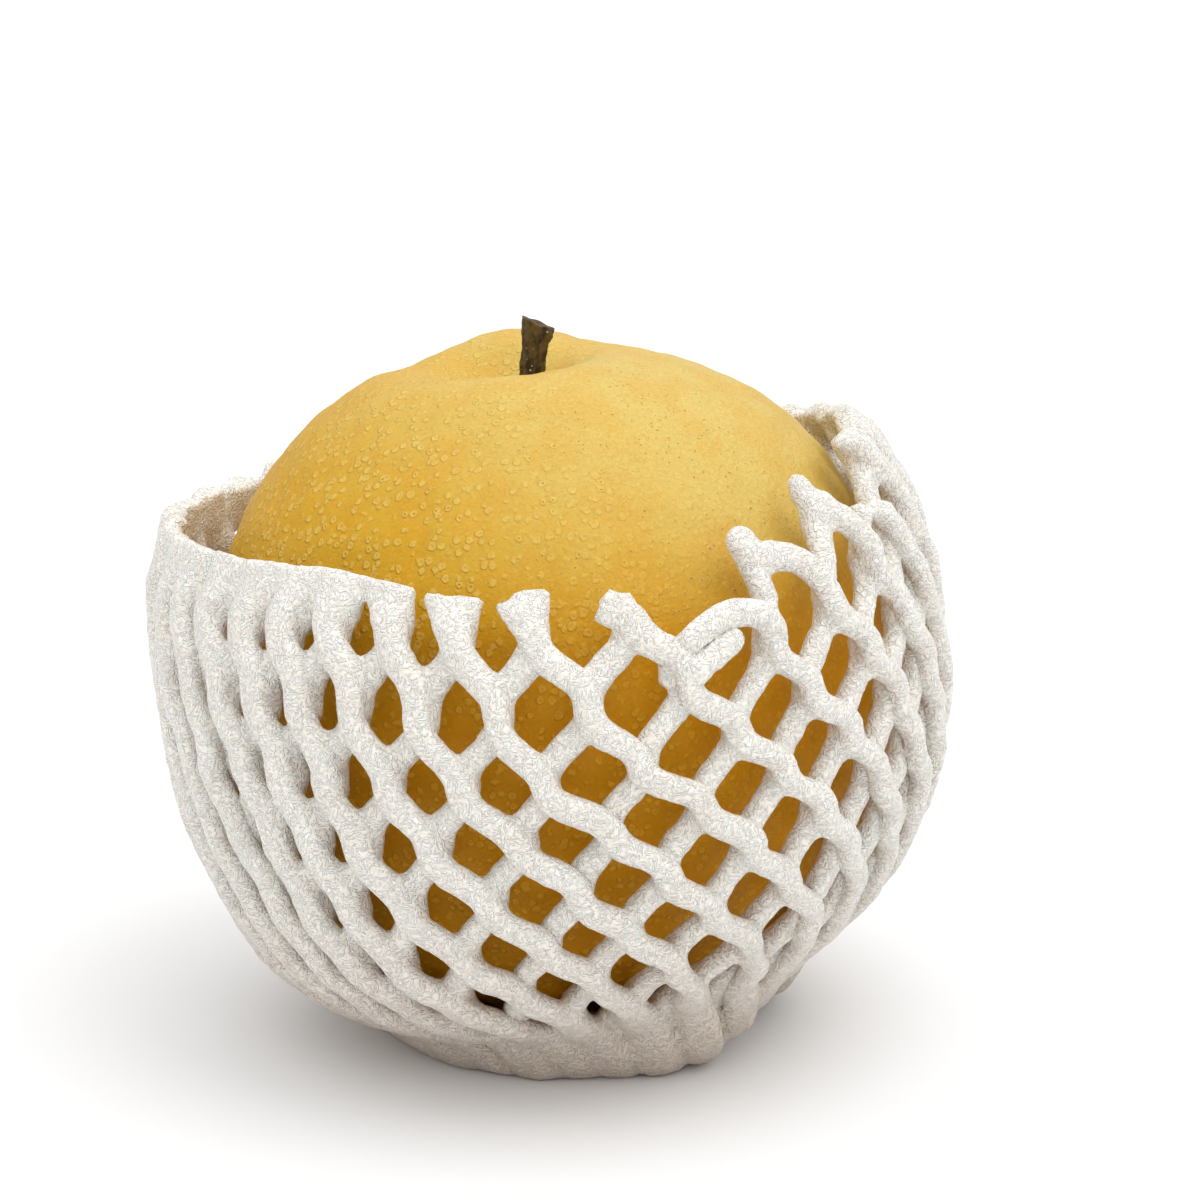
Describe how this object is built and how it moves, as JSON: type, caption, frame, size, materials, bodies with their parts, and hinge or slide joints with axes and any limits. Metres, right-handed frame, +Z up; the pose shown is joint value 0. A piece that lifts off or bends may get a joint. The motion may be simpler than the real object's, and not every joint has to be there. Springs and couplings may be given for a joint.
{
  "type": "nashi pear in a foam net",
  "caption": "Ripe golden nashi pear with a short dark stalk, standing in a white foam net sleeve that is open above and below.",
  "frame": {"origin": "under the middle of the whole thing, on the surface that the net rests on", "axes": "+Z up, -Y towards the viewer, +X to the viewer's right; the fruit's crown leans to -X"},
  "size_m": [0.108, 0.108, 0.0951],
  "materials": {
    "fruit": "satin fruit skin with fine pale dots",
    "stalk": "rough dark woody stalk",
    "foam_net": "soft crinkled white foam"
  },
  "bodies": {
    "root": {"fruit": "fruit", "stalk": "stalk", "foam_net": "foam_net"}
  },
  "joints": []
}
